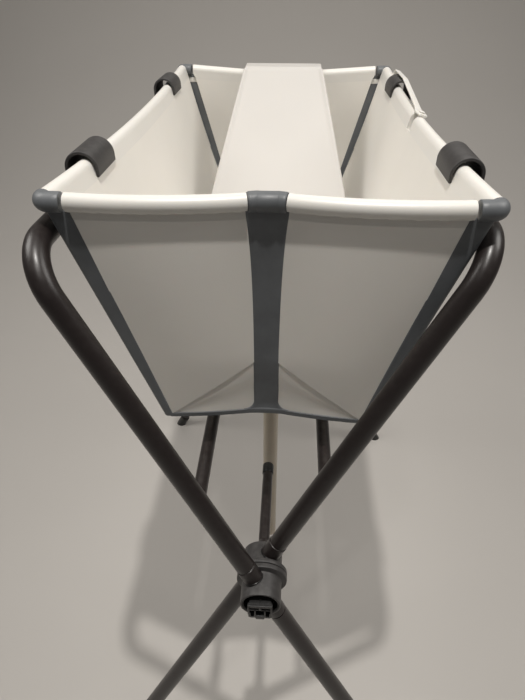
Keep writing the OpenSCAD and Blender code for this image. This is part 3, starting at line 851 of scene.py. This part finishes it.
class BATH_OT_hubs(bpy.types.Operator):
    """The four hub halves: barrels, facing flanges, tube sockets, and the release button"""
    bl_idname = "bath.hubs"
    bl_label = "Hubs and button"

    def execute(self, context):
        socket = [[0.4, 17], [11.45, 17], [11.45, 42.4], [10.3, 42.9], [10.3, 43.9], [0.4, 43.9]]
        open_barrel = hub_lathe([[8.3, -419.1], [20.9, -419.1], [20.9, -440], [23.5, -440], [23.5, -411.6],
                                 [29.9, -410.2], [29.9, -404.3], [8.3, -404.3]], 1.1)
        shut_barrel = hub_lathe([[8.3, 372], [23.5, 372], [23.5, 396.2], [29.9, 397.9], [29.9, 403.7],
                                 [8.3, 403.7]], 1.5)
        halves = (("outer", open_barrel, -420.0, LEAN), ("inner", shut_barrel, 388.0, -LEAN))
        for side, turn in (("a", 1), ("b", -1)):
            flip, body = (turn, turn), "frame_" + side
            for end, barrel, _, _ in halves:
                name = "%s_%s" % (end, side)
                put("hub_shell_" + name, [barrel], hub_grey(), body, "hub_" + name, flip=flip)
            for end, _, y0, lean in halves:
                axes = [unit((d[0], k, d[1])) for d, k in ((ARM, lean), (LEG, -lean))]
                tubes = [lathe(socket, 0.4, (0, y0, HUB_Z), axis, 48) for axis in axes]
                # black rings at the tubes' ends: painted shade of the gaps at the barrel
                shadow_rings = [hub_shadow_ring(y0, axis) for axis in axes]
                for label, parts, mat, slot in (("hub_tube_ends_", tubes, paint(), "tube_paint"),
                                                ("hub_seams_", shadow_rings, black(), "button_black")):
                    put("%s%s_%s" % (label, end, side), parts, mat, body, flip=flip)
        # black lining of the button's recess in the barrel: painted shade inside the recess
        well = hub_lathe([[9.2, -419.8], [20.6, -419.8], [20.6, -438.6], [19.8, -438.6], [19.8, -421.2],
                          [9.2, -421.2]], 0.3)
        cover = hub_lathe([[0.3, 432.2], [20.8, 432.2], [20.8, 440.3], [22.4, 440.3], [22.4, 441.6], [14, 443],
                           [0.3, 443]], 0.9)
        put("hub_well", [well], black(), "frame_a")
        put("button_tray", button_parts(), black(), "button", "release_button")
        put("hub_cover", [cover], hub_grey(), "frame_b", "hub_cap")
        return {"FINISHED"}


class BATH_OT_hooks(bpy.types.Operator):
    """The four hooks that hold the rims on the rails"""
    bl_idname = "bath.hooks"
    bl_label = "Hooks"

    def execute(self, context):
        edge = context.scene.bath_sizes.hook_edge / MM
        cx, cz, r = -RAIL_X + 3.5, RIM_Z - 6, 15.25
        rail, ring_r, ring_half, half_length = (-RAIL_X, RAIL_Z), 13.2, 1.9, 29
        # one outline goes over the rim, down its outside and round the rail; the other closes the ring's top
        arch = np.concatenate([
            np.column_stack([np.full(6, cx + r), np.linspace(cz - 6.6, cz - 1.0, 6)]),
            arc((cx, cz), r, 0, 180, 32), [[cx - r - 0.1, 1068.0], [cx - r - 0.2, 1060.0]]])
        ring = arc(rail, ring_r, 176, 326, 24)
        half = np.concatenate([np.full(len(arch), 1.75), np.full(len(ring), ring_half)])
        outlines = (thick_line(np.concatenate([arch, ring]), half),
                    thick_line(arc(rail, ring_r, 70, 200, 20), ring_half))
        for side, sx in (("a", 1), ("b", -1)):
            for end, y in (("front", -200), ("rear", 200)):
                parts = [extruded(outline, y - half_length, y + half_length, edge, 5) for outline in outlines]
                name = "hook_%s_%s" % (end, side)
                put("rim_" + name, parts, hook_grey(), "frame_" + side, name,
                    flip=(sx, 1), sharp=60)
        return {"FINISHED"}


class BATH_OT_strap(bpy.types.Operator):
    """The white folding strap on the right rim and its pin"""
    bl_idname = "bath.strap"
    bl_label = "Strap"

    def execute(self, context):
        # the strap's line along the bath and up: flat at the pin, a slow rise, flat again and a curled end
        climb = np.linspace(0, 1, 22)
        line = np.concatenate([
            [[-14.6, -0.1], [-8, -0.1], [0, -0.1], [9, -0.1]],
            np.column_stack([14 + 152 * climb, -0.1 + 15.0 * climb ** 0.96]),
            np.column_stack([np.linspace(172, 236, 9), np.full(9, 14.9)]), arc((238, 6.9), 8.0, 88, -108, 22)])
        narrow = 3.3
        width = narrow + 3.1 * ramp(line[:, 0], 34, 8) ** 2
        width[:2] = (3.4, 6.0)
        width[-14:] = narrow + 1.9 * np.sin(np.linspace(0, np.pi, 14)) ** 2
        grid = side_point(width[:, None] * np.linspace(-1, 1, 9), SIDE_H + line[:, 1:], line[:, :1])
        put("folding_strap", [slab(grid, 1.25)], rim_white(), "strap", "clasp_strap",
            flip=(-1, 1), sharp=50)
        base = side_point(0.0, SIDE_H, 0.0)
        pin = lathe([[0.2, -18.5], [2.35, -18.5], [2.35, 1.6], [4.1, 1.6], [4.1, 2.8], [2.6, 3.3], [0.2, 3.3]],
                    0.4, base, side_point(0.0, SIDE_H + 1, 0.0) - base, 28)
        put("strap_pin", [pin], rim_white(), "frame_b", "clasp_pin", flip=(-1, 1))
        return {"FINISHED"}


class BATH_OT_support(bpy.types.Operator):
    """The newborn support: a lip behind the rear rim, a flat top and a long sloping panel with raised edges"""
    bl_idname = "bath.support"
    bl_label = "Newborn support"

    def execute(self, context):
        bead = context.scene.bath_sizes.bead / MM
        slope = math.radians(31.3)
        lift = RIM_Z - 3.0
        top_z, half_thick = lift + 11.6, 1.15
        # the middle line, from the lip behind the rim over the top and down the slope
        dist = np.linspace(6.0, 440.0, 62)
        run = [306.0, top_z - 0.2] - dist[:, None] * np.array([math.cos(slope), math.sin(slope)])
        over = np.concatenate([
            [[346.6, lift + 1.3], [346.6, lift + 3.5], [346.6, lift + 6.0]],
            arc((342.0, lift + 7.0), 4.6, 0, 90, 8),
            np.column_stack([np.linspace(339, 312, 8), np.full(8, top_z)]),
            np.array([[309.6, 11.5], [307.2, 11.0], [304.8, 10.0], [302.3, 8.7]]) + [0, lift]])
        line = np.concatenate([over, run])
        dist = np.concatenate([np.zeros(len(over)), dist])[:, None]
        # it widens down to 280 and has round lower corners of radius 46
        corner = 46.0
        rounded = ramp(dist, 396, 396 + corner)
        width = 67.0 + 36.6 * ramp(dist, 0, 280) - corner * (1 - np.sqrt(np.maximum(1 - rounded ** 2, 0.0)))
        q = np.linspace(-1, 1, 41)
        q = np.sin(q * np.pi / 2) * 0.35 + q * 0.65
        x = width * q
        # the middle is a little lower where the panel bends over the rim
        on_bend = np.arange(len(line))[:, None] > 12
        sag = 0.8 * (1 - q ** 2) * np.exp(-(dist / 20.0) ** 2) * on_bend
        # raised edges along both sides and the foot
        near = ramp(width - np.abs(x), 5.5, 0)
        rim = np.sin(np.clip(near * 1.15, 0, 1) * np.pi / 2) ** 2
        tail = ramp(dist, 434, 440)
        up = half_thick + bead * np.maximum(rim * ramp(dist, 0, 8), tail * 0.9)
        body = slab(points(x, line[:, :1], line[:, 1:] - sag), up, half_thick)
        put("newborn_panel", [body], shaded_support_white(), "support", "newborn_support", sharp=40)
        return {"FINISHED"}


class BATH_OT_drain(bpy.types.Operator):
    """Drain fitting, nut and plug, the hose and its cuff, the feet and the axle parts"""
    bl_idname = "bath.drain"
    bl_label = "Drain, hose and feet"

    def execute(self, context):
        drop = FLOOR_Z - 848

        def turned(profile, r, n=48):
            """A profile turned about the drain's axis."""
            return lathe(profile, r, (0, DRAIN_Y, drop), (0, 0, 1), n)

        fitting = turned([[7.6, 800.2], [9.3, 800.2], [9.3, 826], [14.9, 828], [14.9, 849.9], [19.9, 849.9],
                          [19.6, 851.7], [12.7, 851.2], [12.7, 829.6], [7.6, 828]], 0.8, 56)
        # a ring nut with twelve soft grips: heights and radii of its section
        height, radius = np.array([[840.1, 18.6], [841.0, 19.4], [845.0, 19.4], [845.9, 18.6], [845.9, 15.2],
                                   [840.1, 15.2]]).T
        turn = circle(72)[:, None]
        radius = radius + np.where(radius > 16, 0.55 * np.cos(12 * turn), 0)
        nut = ring_loft(points(radius * np.cos(turn), DRAIN_Y + radius * np.sin(turn), height + drop))
        plug = turned([[0.3, 852.1], [15.3, 852.1], [15.3, 853.6], [9, 854.2], [0.3, 854.2]], 0.5)
        stem = turned([[10.1, 836.3], [12.3, 836.3], [12.3, 850.9], [10.8, 852.4], [0.3, 852.4], [0.3, 849.5],
                       [10.1, 849.0]], 0.5)
        tab = extruded(softened([[-1.5, 850], [1.5, 850], [1.4, 856.8], [-1.4, 856.8]], 0.7),
                       DRAIN_Y - 8, DRAIN_Y + 8, 0.6)
        for name, parts, node, body, mat, slot in (
                ("drain_seat", [fitting], "drain_fitting", "drain", hook_grey(), "drain_grey"),
                ("drain_ring_nut", [nut], "drain_nut", "drain", hook_grey(), "drain_grey"),
                ("drain_stopper", [plug, stem, tab], "drain_plug", "plug", soft_grey(), "plug_grey")):
            put(name, parts, mat, body, node)
        # hose: a smooth pipe with faint rings and a thicker mouth, hanging straight down
        z = np.linspace(HOSE_TOP, HOSE_END, 180)
        out = 11.72 + 0.16 * np.cos(z * 2 * np.pi / 7.0) + 0.1 * ramp(z, HOSE_END + 4, HOSE_END + 1)
        radius, z = np.concatenate([out, np.full(180, 10.2)]), np.concatenate([z, z[::-1]])
        turn = circle(40)[:, None]
        tube = ring_loft(points(radius * np.cos(turn), DRAIN_Y + radius * np.sin(turn), z))
        hose = put("drain_hose", [tube], hose_skin(), "drain", "hose", sharp=60)
        cuff = put("hose_collar", [turned([
            [12.1, 796.2], [13.3, 796.2], [13.3, 800], [12.8, 801.5], [12.8, 816], [13.3, 817.5], [13.3, 821.8],
            [9.6, 821.8], [9.6, 816.2], [12.1, 815.8]], 0.5)], hook_grey(), "drain", "hose_cuff")
        for mat, names in ((black(), ("foot_front_a", "foot_rear_a", "foot_front_b", "foot_rear_b")),
                           (steel(), ("axle_front", "axle_rear", "collar_rear"))):
            for name in names:
                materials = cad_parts[name].data.materials
                materials.clear()
                materials.append(mat)
        return {"FINISHED"}


class BATH_OT_stage(bpy.types.Operator):
    """Plain pale floor and backdrop, soft studio lights and the camera"""
    bl_idname = "bath.stage"
    bl_label = "Stage"

    def execute(self, context):
        scene = context.scene
        mat = bpy.data.materials.new("Stage pale")
        mat.use_nodes = True
        tree = mat.node_tree
        shader = tree.nodes["Principled BSDF"]
        shader.inputs["Roughness"].default_value = 0.9
        where = add_node(tree, "TexCoord")
        noise = add_node(tree, "TexNoise", {"Scale": 3.0})
        mix = add_node(tree, "Mix", data_type="RGBA")
        mix.inputs["A"].default_value = linear((0.80, 0.785, 0.765))
        mix.inputs["B"].default_value = linear((0.785, 0.77, 0.75))
        connect(tree, (where, "Object", noise, "Vector"), (noise, "Fac", mix, "Factor"),
                (mix, "Result", shader, "Base Color"))
        # one sheet: floor, a quarter-round and a wall, carried across
        round_y, round_r, wall_top = 0.8, 2.2, 5.0
        line = np.concatenate([[[-4.5, 0.0], [round_y, 0.0]], arc((round_y, round_r), round_r, -90, 0, 40)[1:],
                               [[round_y + round_r, wall_top]]])
        sheet = points(np.linspace(-7.0, 7.0, 5)[:, None], line[:, 0], line[:, 1])
        mesh = bpy.data.meshes.new("backdrop")
        mesh.from_pydata(sheet.reshape(-1, 3).tolist(), [], grid_faces(*sheet.shape[:2], False))
        mesh.polygons.foreach_set("use_smooth", np.ones(len(mesh.polygons), bool))
        mesh.materials.append(mat)
        drop = bpy.data.objects.new("backdrop", mesh)
        scene.collection.objects.link(drop)
        # name, diameter, power, place, and the point that it shines at
        for name, size, power, place, aim in (
                ("Key", 0.07, 29.0, (0.05, -0.67, 3.0), (0.0, -0.1, 0.9)),
                ("Second key", 0.09, 4.0, (-0.16, -1.39, 3.0), (0.0, -0.1, 0.9)),
                ("Top", 2.0, 3.0, (0.1, 0.2, 3.0), (0.0, 0.0, 0.9)),
                ("Left", 1.0, 15.0, (-1.35, -0.05, 2.3), (0.0, 0.0, 0.95)),
                ("Right", 1.0, 13.5, (1.4, -0.05, 2.3), (0.0, 0.0, 0.95)),
                ("Back", 1.4, 5.0, (0.3, 1.6, 2.6), (0.0, 0.0, 0.9))):
            data = bpy.data.lights.new(name, "AREA")
            data.shape = "DISK"
            data.size = size
            data.energy = power
            data.color = (1.0, 0.965, 0.92)
            lamp = bpy.data.objects.new(name, data)
            lamp.location = place
            direction = np.array(aim) - np.array(place)
            lamp.rotation_euler = (math.acos(-direction[2] / np.linalg.norm(direction)), 0,
                                   math.atan2(direction[1], direction[0]) - math.pi / 2)
            scene.collection.objects.link(lamp)
        world = bpy.data.worlds.new("Studio")
        world.use_nodes = True
        sky = world.node_tree.nodes["Background"].inputs
        sky["Color"].default_value = (1.0, 0.97, 0.94, 1)
        sky["Strength"].default_value = 0.085
        scene.world = world
        # the camera as fitted to the photograph: a focal length of 517 pixels in a picture 700 high
        data = bpy.data.cameras.new("Camera")
        data.sensor_width = 36
        data.lens = 517 * data.sensor_width / 700
        data.sensor_fit = "AUTO"
        camera = bpy.data.objects.new("Camera", data)
        camera.location = (0.0184, -0.7377, 1.2413)
        camera.rotation_euler = (math.radians(90 - 36.85), 0, math.radians(3.06))
        scene.collection.objects.link(camera)
        scene.camera = camera
        scene.view_settings.view_transform = "Standard"
        return {"FINISHED"}


STEPS = (BATH_OT_stage, BATH_OT_drain, BATH_OT_side_walls, BATH_OT_end_walls, BATH_OT_soft_strips,
         BATH_OT_tubes, BATH_OT_hubs, BATH_OT_hooks, BATH_OT_strap, BATH_OT_support)


class BATH_PT_panel(bpy.types.Panel):
    """Lists the steps and their sizes and colours"""
    bl_idname = "BATH_PT_panel"
    bl_label = "Folding Baby Bath and Stand"
    bl_space_type = "VIEW_3D"
    bl_region_type = "UI"
    bl_category = "Bath Stand"

    def draw(self, context):
        for group in (context.scene.bath_sizes, context.scene.bath_colours):
            for key in group.__annotations__:
                self.layout.prop(group, key)
        for step in STEPS:
            self.layout.operator(step.bl_idname)


CLASSES = (BathColours, BathSizes) + STEPS + (BATH_PT_panel,)


def register():
    for cls in CLASSES:
        bpy.utils.register_class(cls)
    bpy.types.Scene.bath_colours = bpy.props.PointerProperty(type=BathColours)
    bpy.types.Scene.bath_sizes = bpy.props.PointerProperty(type=BathSizes)


def unregister():
    del bpy.types.Scene.bath_sizes
    del bpy.types.Scene.bath_colours
    for cls in reversed(CLASSES):
        bpy.utils.unregister_class(cls)


def main():
    register()
    bpy.ops.bath.stage()
    bpy.ops.bath.drain()
    bpy.ops.bath.side_walls()
    bpy.ops.bath.end_walls()
    bpy.ops.bath.soft_strips()
    bpy.ops.bath.tubes()
    bpy.ops.bath.hubs()
    bpy.ops.bath.hooks()
    bpy.ops.bath.strap()
    bpy.ops.bath.support()
    bpy.context.view_layer.update()


if __name__ == "__main__":
    main()
